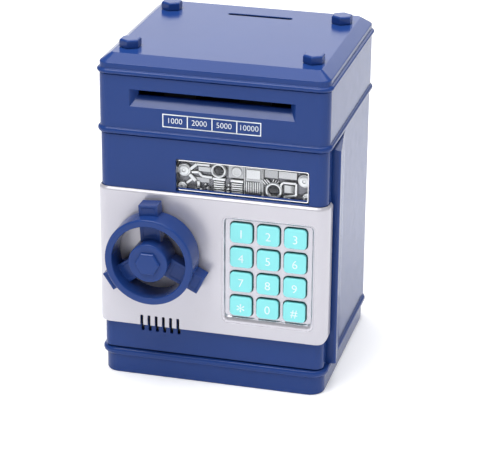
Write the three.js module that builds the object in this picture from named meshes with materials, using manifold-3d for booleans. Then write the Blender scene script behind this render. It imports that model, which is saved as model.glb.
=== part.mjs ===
// Toy cash-machine savings bank: a blue plastic safe with a combination keypad door,
// a handwheel that turns the latch, a note feeder in the head and a coin slot in the lid.
// Millimetres, +Z up. The front faces -Y. The origin is the centre of the base's underside.

import * as THREE from "three";
import { mergeVertices } from "three/addons/utils/BufferGeometryUtils.js";
import Module from "manifold-3d";

const wasm = await Module();
wasm.setup();

// ---------------------------------------------------------------- driving dimensions
const GAP = 0.3; // clearance between pieces that touch on the real object
const BEAD_X = 65.5; // half width over the round beads
const BEAD_Y = 59.5; // half depth over the round beads
const CORNER_R = 6; // vertical corners
const WALL = 2; // moulded wall

const BASE_TOP = 15.2;
const BODY_BOTTOM = 15.5;
const BODY_TOP = 144;
const HEAD_BOTTOM = 144.3;
const HEAD_TOP = 177.7;
const LID_BOTTOM = 178;
const LID_TOP = 188.3;
const TOP = 193; // top of the lid's hexagonal studs

const BASE_X = 63.4;
const BASE_Y = 57.4;
const BASE_CORNER_R = 8;
const BODY_X = 63.9;
const BODY_BACK = 57.9;
const BODY_FRONT = -45.2;
const HEAD_X = 64.2;
const HEAD_Y = 58.2;

const DOOR_X = 63.9;
const DOOR_FRONT = -58;
const DOOR_BACK = -47.3;
const DOOR_BOTTOM = 16.1;
const DOOR_TOP = 143.8;
const DOOR_WALL = 1.8;
const SKIRT_TOP = 31.6; // below this the door is set back
const SKIRT_INSET = 0.8;
const DOOR_INNER_FRONT = DOOR_FRONT + DOOR_WALL;

const PANEL_X = 65.3; // silver panel wrapped round the door
const PANEL_FRONT = -59.4;
const PANEL_WALL = 1.1;
const PANEL_RETURN = -48;
const PANEL_BOTTOM = 32;
const PANEL_TOP = 113.3;

const HINGE_X = 61;
const HINGE_Y = -51;
const HINGE_PIN_R = 1.3;

const WHEEL_X = -30.5;
const WHEEL_Z = 78.1;
const WHEEL_BACK = -60.5;
const RIM_R = 25;
const RIM_INNER_R = 20.9;
const RIM_DEPTH = 16.2;
const HUB_R = 11.1;
const HUB_DEPTH = 17;
const SHAFT_R = 2.5;
const CAM_FRONT = -42.7;
const CAM_THICK = 2;
const CAM_REACH = 30;

const KEY_COLUMNS = 3;
const KEY_ROWS = 4;
const KEY_W = 12.4;
const KEY_H = 11.4;
const KEY_GAP = 0.55; // open gap round each key
const KEY_LIP = 1.15; // flange that keeps a key behind the panel
const KEY_PITCH_X = 15.1;
const KEY_PITCH_Z = 14.5;
const KEYPAD_CENTRE_X = 32.3;
const KEYPAD_CENTRE_Z = 72.3;
const KEYPAD_W = 51.2; // recess round the keys
const KEYPAD_H = 60.6;
const PAN_FLOOR = -58.3;
const KEY_FRONT = -59.9;

const WINDOW = { x: [-19.5, 53.5], z: [114.6, 132.1] };
const SLOT_RECESS = { x: 46, z: [160.4, 170.3] };
const NOTE_SLOT = { x: 42.3, z: [165.8, 168.4] };
const NOTE_Z = 167.1;
const COIN_SLOT = { x: [-16, 21.4], y: 35, width: 2.6 };
const STUD_CENTRES = { fl: [-51, -39], fr: [51, -39], bl: [-50, 36], br: [50, 36] };

// ---------------------------------------------------------------- solids
function solid(geometry) {
  geometry.deleteAttribute("normal");
  geometry.deleteAttribute("uv");
  const merged = mergeVertices(geometry, 1e-4);
  const vertProperties = Float32Array.from(merged.attributes.position.array);
  const triVerts = Uint32Array.from(merged.index.array);
  return new wasm.Manifold(new wasm.Mesh({ numProp: 3, vertProperties, triVerts }));
}

function join(...solids) {
  return solids.reduce((sum, next) => sum.add(next));
}

function cut(body, ...tools) {
  return tools.reduce((rest, tool) => rest.subtract(tool), body);
}

function box([x0, x1], [y0, y1], [z0, z1]) {
  const geometry = new THREE.BoxGeometry(x1 - x0, y1 - y0, z1 - z0);
  geometry.translate((x0 + x1) / 2, (y0 + y1) / 2, (z0 + z1) / 2);
  return solid(geometry);
}

function rod(axis, [a, b], r, [from, to], sides = 20) {
  const geometry = new THREE.CylinderGeometry(r, r, to - from, sides);
  const middle = (from + to) / 2;
  if (axis === "x") {
    geometry.rotateZ(Math.PI / 2);
    geometry.translate(middle, a, b);
  } else if (axis === "y") {
    geometry.translate(a, middle, b);
  } else {
    geometry.rotateX(Math.PI / 2);
    geometry.translate(a, b, middle);
  }
  return solid(geometry);
}

// A ring of points round a rectangle with rounded corners, anticlockwise.
function ring(halfX, halfY, r, steps = 4, centre = [0, 0]) {
  const points = [];
  for (let corner = 0; corner < 4; corner += 1) {
    const cx = (corner === 0 || corner === 3 ? 1 : -1) * (halfX - r);
    const cy = (corner < 2 ? 1 : -1) * (halfY - r);
    for (let i = 0; i <= steps; i += 1) {
      const angle = (corner + i / steps) * (Math.PI / 2);
      points.push([centre[0] + cx + r * Math.cos(angle), centre[1] + cy + r * Math.sin(angle)]);
    }
  }
  return points;
}

// A closed solid through convex rings of equal count, each at its own height.
function loft(sections) {
  const count = sections[0].points.length;
  const positions = [];
  for (const { points, z } of sections) {
    for (const [x, y] of points) positions.push(x, y, z);
  }
  const faces = [];
  for (let s = 0; s + 1 < sections.length; s += 1) {
    for (let i = 0; i < count; i += 1) {
      const a = s * count + i;
      const b = s * count + ((i + 1) % count);
      faces.push(a, b, b + count, a, b + count, a + count);
    }
  }
  const last = (sections.length - 1) * count;
  for (let i = 1; i + 1 < count; i += 1) {
    faces.push(0, i + 1, i);
    faces.push(last, last + i, last + i + 1);
  }
  const geometry = new THREE.BufferGeometry();
  geometry.setAttribute("position", new THREE.Float32BufferAttribute(positions, 3));
  geometry.setIndex(faces);
  return solid(geometry);
}

function prism(points, [z0, z1]) {
  return loft([{ points, z: z0 }, { points, z: z1 }]);
}

// Turns a solid drawn in (x, z) with its height towards the front into place: height 0 lies at y.
function facing(shape, y) {
  return shape.rotate([90, 0, 0]).translate([0, y, 0]);
}

// A lathe body about the local z axis, from [radius, height] pairs.
function turned(profile, sides) {
  const points = profile.map(([r, h]) => new THREE.Vector2(r, h));
  return solid(new THREE.LatheGeometry(points, sides).rotateX(Math.PI / 2));
}

function outline(shape, [z0, z1]) {
  const geometry = new THREE.ExtrudeGeometry(shape, { depth: z1 - z0, bevelEnabled: false, curveSegments: 6 });
  return solid(geometry.translate(0, 0, z0));
}

function polygon(points) {
  return new THREE.Shape(points.map(([x, y]) => new THREE.Vector2(x, y)));
}

// ---------------------------------------------------------------- materials and nodes
function plastic(color, roughness) {
  return new THREE.MeshStandardMaterial({ color, roughness, metalness: 0 });
}

function metal(color, roughness) {
  return new THREE.MeshStandardMaterial({ color, roughness, metalness: 1 });
}

const BLUE = plastic(0x2c4a86, 0.3);
const SILVER = plastic(0xd6d4dd, 0.35);
const TURQUOISE = plastic(0x74ece4, 0.45);
const CHROME = metal(0xc9cbd0, 0.25);
const STEEL = metal(0x9a9ca2, 0.35);
const BLACK = plastic(0x1b1c20, 0.6);
const RUBBER = plastic(0x3a3a3c, 0.9);
const BOARD = plastic(0x1d6b3c, 0.5);
const CLEAR = new THREE.MeshStandardMaterial({ color: 0xf2f6f8, roughness: 0.05, transparent: true, opacity: 0.25 });

const bank = new THREE.Group();

function add(name, shape, material) {
  const { vertProperties, triVerts } = shape.getMesh();
  const geometry = new THREE.BufferGeometry();
  geometry.setAttribute("position", new THREE.BufferAttribute(Float32Array.from(vertProperties), 3));
  geometry.setIndex(new THREE.BufferAttribute(Uint32Array.from(triVerts), 1));
  geometry.computeVertexNormals();
  const mesh = new THREE.Mesh(geometry, material);
  mesh.name = name;
  bank.add(mesh);
  return mesh;
}

// ---------------------------------------------------------------- base tray
const SCREW_POSTS = [[-58.2, -37], [58.2, -37], [-58.2, 49], [58.2, 49]];
const POST_R = 4.4;
const TRAY_FLOOR = 3;
const BEAD_REACH = [BEAD_X - 0.1, BEAD_Y - 0.4]; // half width and half depth over the base's bead
const baseShell = loft([
  { points: ring(BASE_X - 0.6, BASE_Y - 0.6, BASE_CORNER_R), z: 0 },
  { points: ring(BASE_X, BASE_Y, BASE_CORNER_R), z: 0.6 },
  { points: ring(BASE_X, BASE_Y, BASE_CORNER_R), z: BASE_TOP },
]);
// The bead stands out least at the front, so its ring is centred a little further back.
const beadRing = (inset) => ring(BEAD_REACH[0] - inset, BEAD_REACH[1] - inset, BASE_CORNER_R + 1, 4, [0, 0.3]);
const baseBead = loft([
  { points: beadRing(2.2), z: 11.8 },
  { points: beadRing(0), z: 12.7 },
  { points: beadRing(0), z: 14.4 },
  { points: beadRing(1), z: BASE_TOP },
]);
const trayPocket = prism(ring(58, 53, 4), [TRAY_FLOOR, 30]);
let baseTray = cut(join(baseShell, baseBead), trayPocket);
for (const post of SCREW_POSTS) {
  baseTray = join(baseTray, rod("z", post, POST_R, [0, BASE_TOP]));
}
for (const post of SCREW_POSTS) {
  baseTray = cut(baseTray, rod("z", post, 3.2, [-1, 3]), rod("z", post, 1.7, [2, 20]));
}
baseTray = cut(baseTray, rod("z", [HINGE_X, HINGE_Y], HINGE_PIN_R + GAP, [7.7, 20]));
add("base_tray", baseTray, BLUE);

SCREW_POSTS.forEach((post, i) => {
  const [x, y] = post;
  const screw = join(rod("z", post, 2.8, [1, 2.7]), rod("z", post, 1.4, [2.5, 24]));
  const slot = join(
    box([x - 1.8, x + 1.8], [y - 0.4, y + 0.4], [0, 1.8]),
    box([x - 0.4, x + 0.4], [y - 1.8, y + 1.8], [0, 1.8]),
  );
  add(`base_screw_${i + 1}`, cut(screw, slot), STEEL);
});

// ---------------------------------------------------------------- body shell
const JAMB_X = 68; // the hinge-side jamb stands proud of the side wall and fades into it
const JAMB_END_Y = -15;
const FLANGE_X = 57.5;
const bodyCentreY = (BODY_FRONT + BODY_BACK) / 2;
const bodyHalfY = (BODY_BACK - BODY_FRONT) / 2;
const bodyRing = (inset) => ring(BODY_X - inset, bodyHalfY - inset, Math.max(CORNER_R - inset, 1), 4, [0, bodyCentreY]);
const frontStrip = box([-BODY_X, BODY_X], [BODY_FRONT, BODY_FRONT + 8], [BODY_BOTTOM, BODY_TOP]);
const compartment = box([-BODY_X + WALL, BODY_X - WALL], [BODY_FRONT + WALL, BODY_BACK - 14], [0, 200]);
const hingeJamb = outline(
  polygon([[62, BODY_FRONT], [JAMB_X, BODY_FRONT], [JAMB_X + 0.3, BODY_FRONT + 1], [63.8, JAMB_END_Y], [62, JAMB_END_Y]]),
  [BODY_BOTTOM, 141],
);
let bodyShell = join(prism(bodyRing(0), [BODY_BOTTOM, BODY_TOP]), frontStrip, hingeJamb);
bodyShell = cut(bodyShell, prism(bodyRing(WALL), [0, 200]), compartment);
bodyShell = cut(bodyShell, box([-FLANGE_X, FLANGE_X], [-60, BODY_FRONT + 6], [0, 200]));
for (const post of SCREW_POSTS) {
  bodyShell = join(bodyShell, rod("z", post, POST_R - 0.4, [BODY_BOTTOM, 28]));
}
for (const post of SCREW_POSTS) {
  bodyShell = cut(bodyShell, rod("z", post, 1.7, [0, 25]));
}
add("body_shell", bodyShell, BLUE);

// ---------------------------------------------------------------- head with the note slot
const SLOT_BOSS_DEPTH = 7;
const HEAD_FRONT = -HEAD_Y;
const headOuter = loft([
  { points: ring(BEAD_X - 0.7, BEAD_Y - 0.7, CORNER_R), z: HEAD_BOTTOM },
  { points: ring(BEAD_X, BEAD_Y, CORNER_R + 1), z: HEAD_BOTTOM + 0.9 },
  { points: ring(BEAD_X, BEAD_Y, CORNER_R + 1), z: HEAD_BOTTOM + 2.6 },
  { points: ring(HEAD_X, HEAD_Y, CORNER_R), z: HEAD_BOTTOM + 3.6 },
  { points: ring(HEAD_X, HEAD_Y, CORNER_R), z: HEAD_TOP },
]);
const headInner = prism(ring(HEAD_X - WALL, HEAD_Y - WALL, CORNER_R - WALL), [HEAD_BOTTOM + WALL, 200]);
const headFloorHole = prism(ring(46, 47, 3), [100, 200]);
const slotBoss = box([-50, 50], [HEAD_FRONT + 1, HEAD_FRONT + SLOT_BOSS_DEPTH], [156, 174]);
const rectangle = (halfX, [z0, z1]) => ring(halfX, (z1 - z0) / 2, 0.01, 1, [0, (z0 + z1) / 2]);
const slotRecess = facing(
  loft([
    { points: rectangle(NOTE_SLOT.x, NOTE_SLOT.z), z: -SLOT_BOSS_DEPTH + 2 },
    { points: rectangle(SLOT_RECESS.x, SLOT_RECESS.z), z: 0.05 },
  ]),
  HEAD_FRONT,
);
const noteSlot = box([-NOTE_SLOT.x, NOTE_SLOT.x], [-70, HEAD_FRONT + SLOT_BOSS_DEPTH + 1], NOTE_SLOT.z);
const upperPinBoss = rod("z", [HINGE_X, HINGE_Y], 3.2, [HEAD_BOTTOM, 154]);
let headShell = join(cut(headOuter, headInner, headFloorHole), slotBoss, upperPinBoss);
headShell = cut(headShell, slotRecess, noteSlot);
headShell = cut(headShell, rod("z", [HINGE_X, HINGE_Y], HINGE_PIN_R + GAP, [140, 152.3]));
add("head_shell", headShell, BLUE);

// ---------------------------------------------------------------- lid, studs and coin chute
const lidOuter = loft([
  { points: ring(BEAD_X - 0.7, BEAD_Y - 0.7, CORNER_R), z: LID_BOTTOM },
  { points: ring(BEAD_X, BEAD_Y, CORNER_R + 1), z: LID_BOTTOM + 0.8 },
  { points: ring(BEAD_X, BEAD_Y, CORNER_R + 1), z: LID_BOTTOM + 2 },
  { points: ring(BEAD_X - 1.5, BEAD_Y - 1.5, CORNER_R), z: LID_BOTTOM + 2.8 },
  { points: ring(BEAD_X - 1.5, BEAD_Y - 1.5, CORNER_R), z: 184 },
  { points: ring(BEAD_X - 7.5, BEAD_Y - 7.5, 2.5), z: LID_TOP },
]);
const lidInner = loft([
  { points: ring(BEAD_X - 4, BEAD_Y - 4, 4), z: LID_BOTTOM - 1 },
  { points: ring(BEAD_X - 4, BEAD_Y - 4, 4), z: 182 },
  { points: ring(BEAD_X - 9.5, BEAD_Y - 9.5, 4), z: LID_TOP - 2.2 },
]);
const coinSlotHalf = COIN_SLOT.width / 2;
const coinSlot = box(COIN_SLOT.x, [COIN_SLOT.y - coinSlotHalf, COIN_SLOT.y + coinSlotHalf], [180, 200]);
add("top_lid", cut(lidOuter, lidInner, coinSlot), BLUE);

const STUD_R = 6.2;
const STUD_BOTTOM = LID_TOP + GAP;
for (const [corner, [x, y]] of Object.entries(STUD_CENTRES)) {
  const height = TOP - STUD_BOTTOM;
  const stud = turned([[0, 0], [STUD_R, 0], [STUD_R, height - 0.8], [STUD_R - 1, height], [0, height]], 6);
  add(`lid_stud_${corner}`, stud.translate([x, y, STUD_BOTTOM]), BLUE);
}

const CHUTE_WALL = 1.5;
const [coinX0, coinX1] = COIN_SLOT.x;
const chuteOuter = box(
  [coinX0 - 3, coinX1 + 3],
  [COIN_SLOT.y - 4.5, COIN_SLOT.y + 4.5],
  [148, LID_TOP - 2.2 - GAP],
);
const chuteInner = box(
  [coinX0 - 3 + CHUTE_WALL, coinX1 + 3 - CHUTE_WALL],
  [COIN_SLOT.y - 3, COIN_SLOT.y + 3],
  [140, 200],
);
add("coin_chute", cut(chuteOuter, chuteInner), BLACK);

// ---------------------------------------------------------------- note feeder
const FEED_Y = -42;
const DRIVE_R = 6;
const DRIVE_Z = NOTE_Z - 0.3 - DRIVE_R;
const IDLER_R = 4;
const IDLER_Z = NOTE_Z + 0.3 + IDLER_R;
const ROLLER_SHAFT_R = 1.5;
const FRAME_X = 47;
const TYRE_X = [[-30, -12], [12, 30]];

const cheekProfile = [[-49, 149], [-15, 149], [-15, 176], [-49, 176]];
const cheek = (x0, x1) => {
  const plate = outline(polygon(cheekProfile), [0, x1 - x0]);
  return plate.rotate([90, 0, 90]).translate([x0, 0, 0]);
};
const deflector = cut(
  rod("x", [-34, 158], 18.5, [-FRAME_X - 1, FRAME_X + 1], 32),
  rod("x", [-34, 158], 17, [-60, 60], 32),
).intersect(box([-60, 60], [-34, -14.5], [150, 180]));
let feedFrame = join(cheek(-FRAME_X - 2, -FRAME_X), cheek(FRAME_X, FRAME_X + 2), deflector);
for (const z of [DRIVE_Z, IDLER_Z]) {
  feedFrame = cut(feedFrame, rod("x", [FEED_Y, z], ROLLER_SHAFT_R + 0.35, [-60, 60]));
}
add("feed_frame", feedFrame, BLACK);

add("drive_shaft", rod("x", [FEED_Y, DRIVE_Z], ROLLER_SHAFT_R, [-FRAME_X - 2.5, FRAME_X + 3]), STEEL);
add("idler_shaft", rod("x", [FEED_Y, IDLER_Z], ROLLER_SHAFT_R, [-FRAME_X - 2.5, FRAME_X + 2.5]), STEEL);
["left", "right"].forEach((side, i) => {
  const hollow = rod("x", [FEED_Y, DRIVE_Z], ROLLER_SHAFT_R + GAP, [-60, 60]);
  add(`drive_roller_${side}`, cut(rod("x", [FEED_Y, DRIVE_Z], DRIVE_R, TYRE_X[i], 28), hollow), RUBBER);
});
["left", "right"].forEach((side, i) => {
  const hollow = rod("x", [FEED_Y, IDLER_Z], ROLLER_SHAFT_R + GAP, [-60, 60]);
  add(`idler_roller_${side}`, cut(rod("x", [FEED_Y, IDLER_Z], IDLER_R, TYRE_X[i], 24), hollow), BLACK);
});
const motorCan = rod("x", [FEED_Y, DRIVE_Z], 5.2, [FRAME_X + 3.4, HEAD_X - WALL - 0.6], 24);
const motorFlange = box([FRAME_X + 3.4, FRAME_X + 4.6], [FEED_Y - 7, FEED_Y + 7], [DRIVE_Z - 6, DRIVE_Z + 6]);
add("feed_motor", join(motorCan, motorFlange), STEEL);

// ---------------------------------------------------------------- hinge pins
add("hinge_pin_lower", rod("z", [HINGE_X, HINGE_Y], HINGE_PIN_R, [8, 22.5], 16), STEEL);
add("hinge_pin_upper", rod("z", [HINGE_X, HINGE_Y], HINGE_PIN_R, [136.5, 152], 16), STEEL);

// ---------------------------------------------------------------- door shell
const doorCentreY = (DOOR_FRONT + 20) / 2;
const doorHalfY = (20 - DOOR_FRONT) / 2;
const doorDepth = box([-80, 80], [-80, DOOR_BACK], [0, 200]);
const doorRing = (inset) =>
  ring(DOOR_X - inset, doorHalfY - inset, Math.max(CORNER_R - inset, 1.5), 5, [0, doorCentreY]);
const doorOuter = join(
  prism(doorRing(0), [SKIRT_TOP - 0.2, DOOR_TOP]),
  prism(doorRing(SKIRT_INSET), [DOOR_BOTTOM, SKIRT_TOP]),
);
const doorInner = join(
  prism(doorRing(DOOR_WALL), [SKIRT_TOP - 0.2, DOOR_TOP - DOOR_WALL]),
  prism(doorRing(DOOR_WALL + SKIRT_INSET), [DOOR_BOTTOM + DOOR_WALL, SKIRT_TOP]),
);
const HINGE_BOSSES = [[DOOR_BOTTOM + 1, 26], [133, DOOR_TOP - 1]];
const COVER_POSTS = [[-52, 26], [52, 30], [-52, 128], [52, 108]];
const PAN_DEPTH = 1.2;
const panRing = (grow) =>
  ring(KEYPAD_W / 2 + grow, KEYPAD_H / 2 + grow, 3, 4, [KEYPAD_CENTRE_X, KEYPAD_CENTRE_Z]);
const panOpening = facing(prism(panRing(1.9), [0, 12]), DOOR_INNER_FRONT + 4);
const windowOpening = box(WINDOW.x, [-70, DOOR_INNER_FRONT + 1], WINDOW.z);
const SLOT_COUNT = 6;
const SLOT_PITCH = 4.2;
const speakerSlots = [];
for (let i = 0; i < SLOT_COUNT; i += 1) {
  const x = -40 + i * SLOT_PITCH;
  speakerSlots.push(box([x - 0.85, x + 0.85], [-70, DOOR_INNER_FRONT + 2], [27.9, 38.3]));
}
const wheelHole = rod("y", [WHEEL_X, WHEEL_Z], 4.6, [-70, DOOR_INNER_FRONT + 1]);

let doorShell = cut(doorOuter, doorInner).intersect(doorDepth);
for (const span of HINGE_BOSSES) {
  doorShell = join(doorShell, rod("z", [HINGE_X - 0.2, HINGE_Y], 2.9, span));
}
for (const [x, z] of COVER_POSTS) {
  doorShell = join(doorShell, rod("y", [x, z], 3, [DOOR_INNER_FRONT - 1, -49.3], 16));
}
doorShell = doorShell.intersect(join(doorOuter, box([-80, 80], [-50, DOOR_BACK], [0, 200])));
doorShell = cut(doorShell, panOpening, windowOpening, wheelHole, ...speakerSlots);
doorShell = cut(
  doorShell,
  rod("z", [HINGE_X, HINGE_Y], HINGE_PIN_R + 0.35, [0, 23.5]),
  rod("z", [HINGE_X, HINGE_Y], HINGE_PIN_R + 0.35, [135.5, 200]),
);
for (const [x, z] of COVER_POSTS) {
  doorShell = cut(doorShell, rod("y", [x, z], 1.5, [-55, -40], 16));
}
add("door_shell", doorShell, BLUE);

// ---------------------------------------------------------------- silver front panel
const panelRing = (inset) =>
  ring(PANEL_X - inset, (20 - PANEL_FRONT) / 2 - inset, CORNER_R + 0.9 - inset, 5, [0, (PANEL_FRONT + 20) / 2]);
const panelSkin = cut(
  prism(panelRing(0), [PANEL_BOTTOM, PANEL_TOP]),
  prism(panelRing(PANEL_WALL), [0, 200]),
).intersect(box([-80, 80], [-80, PANEL_RETURN], [0, 200]));
const recess = facing(prism(panRing(0), [0, 12]), PAN_FLOOR);
const pan = facing(prism(panRing(1.2), [0, PAN_DEPTH + 0.6]), PAN_FLOOR + PAN_DEPTH);

function eachKey(visit) {
  for (let row = 0; row < KEY_ROWS; row += 1) {
    for (let column = 0; column < KEY_COLUMNS; column += 1) {
      const x = KEYPAD_CENTRE_X + (column - 1) * KEY_PITCH_X;
      const z = KEYPAD_CENTRE_Z + (1.5 - row) * KEY_PITCH_Z;
      visit(row * KEY_COLUMNS + column, x, z);
    }
  }
}

let frontPanel = cut(join(panelSkin, pan), recess);
eachKey((index, x, z) => {
  const hole = prism(ring(KEY_W / 2 + KEY_GAP, KEY_H / 2 + KEY_GAP, 2.5, 3, [x, z]), [-5, 5]);
  frontPanel = cut(frontPanel, facing(hole, PAN_FLOOR));
});
frontPanel = cut(frontPanel, wheelHole, ...speakerSlots);
add("front_panel", frontPanel, SILVER);

// ---------------------------------------------------------------- keys
const KEY_FLANGE = [-56.8, -56];
const KEY_NAMES = ["1", "2", "3", "4", "5", "6", "7", "8", "9", "star", "0", "hash"];
eachKey((index, x, z) => {
  const keyRing = (inset, r) => ring(KEY_W / 2 - inset, KEY_H / 2 - inset, r, 3, [x, z]);
  const cap = loft([
    { points: keyRing(0, 2), z: 0 },
    { points: keyRing(0, 2), z: KEY_FLANGE[0] - KEY_FRONT - 0.5 },
    { points: keyRing(0.6, 1.6), z: KEY_FLANGE[0] - KEY_FRONT },
  ]);
  const flange = prism(keyRing(-KEY_LIP, 1), [-(KEY_FLANGE[1] - KEY_FLANGE[0]), 0.05]);
  add(`key_${KEY_NAMES[index]}`, facing(join(cap, flange), KEY_FLANGE[0]), TURQUOISE);
});

const MEMBRANE = [-54.4, -53.5];
const BOARD_Y = [-53.1, -51.5];
const keypadX = [KEYPAD_CENTRE_X - 24, KEYPAD_CENTRE_X + 24];
const keypadZ = [KEYPAD_CENTRE_Z - 31, KEYPAD_CENTRE_Z + 31];
add("keypad_membrane", box(keypadX, MEMBRANE, keypadZ), RUBBER);
const chip = box([24, 38], [BOARD_Y[1] - 0.1, -50], [66, 80]);
add("circuit_board", join(box([keypadX[0] - 3, keypadX[1] - 5], BOARD_Y, keypadZ), chip), BOARD);

// ---------------------------------------------------------------- window and mechanism relief
const LENS_Y = [DOOR_INNER_FRONT + GAP, DOOR_INNER_FRONT + GAP + 1];
add("window_lens", box([WINDOW.x[0] - 2, WINDOW.x[1] + 2], LENS_Y, [112.6, 134.1]), CLEAR);

const RELIEF_BACK = -49.5;
const RELIEF_GROUND = -52;
const reliefAt = (x, z, r, height, sides = 14) =>
  rod("y", [x, z], r, [RELIEF_GROUND - height, RELIEF_GROUND + 0.5], sides);
const reliefBlock = (x, z, height) => box(x, [RELIEF_GROUND - height, RELIEF_GROUND + 0.5], z);
let relief = box([WINDOW.x[0] - 2, WINDOW.x[1] + 2], [RELIEF_GROUND, RELIEF_BACK], [112.6, 134.1]);
relief = join(
  relief,
  reliefAt(-16, 128.2, 3.3, 1.8),
  reliefAt(-16.6, 117.6, 2.5, 2.4),
  reliefAt(1.8, 128.6, 4, 2),
  reliefAt(12.5, 127.5, 3.6, 1.2),
  reliefAt(33, 120.2, 4.6, 2.2),
  reliefAt(50, 127.5, 3.5, 1.8),
  reliefAt(51, 117.6, 2.4, 2.4),
  reliefBlock([-12, -2], [126, 130.5], 1.2),
  reliefBlock([16, 27.5], [117, 131.5], 1.4),
  reliefBlock([37.5, 46.5], [118, 127], 1.6),
);
relief = cut(relief, rod("y", [1.8, 128.6], 2.3, [-56, -53], 14), rod("y", [33, 120.2], 2.7, [-56, -53], 14));
for (const x of [3.5, 12.5]) {
  for (let i = 0; i < 4; i += 1) {
    const z = 115.4 + i * 2.1;
    relief = join(relief, reliefBlock([x - 3, x + 3], [z, z + 1.2], 2));
  }
}
add("mechanism_relief", relief, CHROME);

// ---------------------------------------------------------------- speaker, solenoid and door cover
const SPEAKER = [-29.5, 34];
const speaker = join(
  rod("y", SPEAKER, 13.5, [DOOR_INNER_FRONT + 1.3, -53.4], 28),
  rod("y", SPEAKER, 6.5, [-53.6, -50.4], 24),
);
add("speaker", speaker, BLACK);
add("lock_solenoid", box([-56, -42], [-55.6, -49.6], [60, 70]), STEEL);

const COVER_Y = [-49, DOOR_BACK];
let doorCover = box([-61.2, 61.2], COVER_Y, [DOOR_BOTTOM + DOOR_WALL + GAP, DOOR_TOP - DOOR_WALL - GAP]);
const skirtTrim = SKIRT_INSET;
doorCover = cut(
  doorCover,
  box([61.2 - skirtTrim, 70], [-60, -40], [0, 33]),
  box([-70, -61.2 + skirtTrim], [-60, -40], [0, 33]),
  box([57.6, 70], [-60, -40], [0, 26.4]),
  box([57.6, 70], [-60, -40], [132.6, 200]),
  rod("y", [WHEEL_X, WHEEL_Z], SHAFT_R + 0.4, [-60, -40]),
);
for (const [x, z] of COVER_POSTS) {
  doorCover = cut(doorCover, rod("y", [x, z], 1.7, [-60, -40], 16), rod("y", [x, z], 2.7, [-48.2, -40], 16));
}
add("door_cover", doorCover, BLUE);
COVER_POSTS.forEach(([x, z], i) => {
  const screw = join(rod("y", [x, z], 2.3, [-47.9, -47], 16), rod("y", [x, z], 1.2, [-54, -47.6], 12));
  const slot = box([x - 1.7, x + 1.7], [-47.4, -46], [z - 0.4, z + 0.4]);
  add(`door_screw_${i + 1}`, cut(screw, slot), STEEL);
});

// ---------------------------------------------------------------- battery box
const CELL_R = 7.1;
const CELL_PITCH = 14.9;
const CELL_Y = -38.6;
const BOX_X = [-10, 45];
const BOX_Z = [48, 96];
const BOX_Y = [DOOR_BACK + GAP, -31.6];
const boxMiddleX = (BOX_X[0] + BOX_X[1]) / 2;
const boxMiddleZ = (BOX_Z[0] + BOX_Z[1]) / 2;
const batteryBox = cut(
  box(BOX_X, BOX_Y, BOX_Z),
  box([BOX_X[0] + 1.4, BOX_X[1] - 1.4], [BOX_Y[0] + 1.2, 0], [BOX_Z[0] + 1.4, BOX_Z[1] - 1.4]),
  box([BOX_X[0] + 4, BOX_X[1] - 4], [-32.9, 0], [BOX_Z[1] - 3, BOX_Z[1] + 1]),
);
add("battery_box", batteryBox, BLUE);
for (let i = 0; i < 3; i += 1) {
  const z = boxMiddleZ + (i - 1) * CELL_PITCH;
  const can = rod("x", [CELL_Y, z], CELL_R, [boxMiddleX - 24.6, boxMiddleX + 24.2], 20);
  const nub = rod("x", [CELL_Y, z], 2.6, [boxMiddleX + 24, boxMiddleX + 25.6], 12);
  add(`aa_cell_${i + 1}`, join(can, nub), STEEL);
}
const COVER_SLIDE_Y = [-31.3, -29.6];
const finger = facing(prism(ring(7, 2, 1.9, 3, [boxMiddleX, BOX_Z[1] - 7]), [0, 1.2]), COVER_SLIDE_Y[1] + 0.9);
const batteryCover = join(
  box([BOX_X[0] + 0.5, BOX_X[1] - 0.5], COVER_SLIDE_Y, [BOX_Z[0] + 0.5, BOX_Z[1] - 0.5]),
  finger,
);
add("battery_cover", batteryCover, BLUE);

// ---------------------------------------------------------------- handwheel, shaft and latch cam
const SPOKE_ANGLES = [94, -26, 214];
const SPOKE_DEPTH = [1, 9];
const LUG_OUT = 30.8;
const LUG_DEPTH = [0.3, 9.2]; // the lugs stop well behind the rim's front lip
const rim = turned(
  [
    [RIM_INNER_R, 0],
    [RIM_R, 0],
    [RIM_R, RIM_DEPTH - 0.8],
    [RIM_R - 0.8, RIM_DEPTH],
    [RIM_INNER_R + 0.6, RIM_DEPTH],
    [RIM_INNER_R, RIM_DEPTH - 0.6],
    [RIM_INNER_R, 0],
  ],
  44,
);
const hub = turned([[0, 0.8], [HUB_R, 0.8], [HUB_R, HUB_DEPTH - 0.8], [HUB_R - 0.8, HUB_DEPTH], [0, HUB_DEPTH]], 28);
let handwheel = join(rim, hub);
for (const angle of SPOKE_ANGLES) {
  const spoke = box([HUB_R - 2, RIM_INNER_R + 1.5], [-5.7, 5.7], SPOKE_DEPTH);
  const lug = box([RIM_R - 1.5, LUG_OUT], [-5.4, 5.4], LUG_DEPTH);
  handwheel = join(handwheel, spoke.rotate([0, 0, angle]), lug.rotate([0, 0, angle]));
}
handwheel = cut(handwheel, rod("z", [0, 0], SHAFT_R + GAP, [-1, 13]));
const onWheelAxis = (shape) => facing(shape, WHEEL_BACK).translate([WHEEL_X, 0, WHEEL_Z]);
add("handwheel", onWheelAxis(handwheel), BLUE);

const CAP_R = 7.1;
const cap = turned([[0, 0], [CAP_R, 0], [CAP_R, 0.9], [CAP_R - 0.6, 1.5], [0, 1.5]], 6);
add("wheel_cap", onWheelAxis(cap.rotate([0, 0, 30]).translate([0, 0, HUB_DEPTH + GAP])), BLUE);

const shaftCollar = rod("y", [WHEEL_X, WHEEL_Z], 4.2, [WHEEL_BACK - 0.4, DOOR_INNER_FRONT]);
add("wheel_shaft", join(rod("y", [WHEEL_X, WHEEL_Z], SHAFT_R, [-73, -40]), shaftCollar), STEEL);

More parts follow.
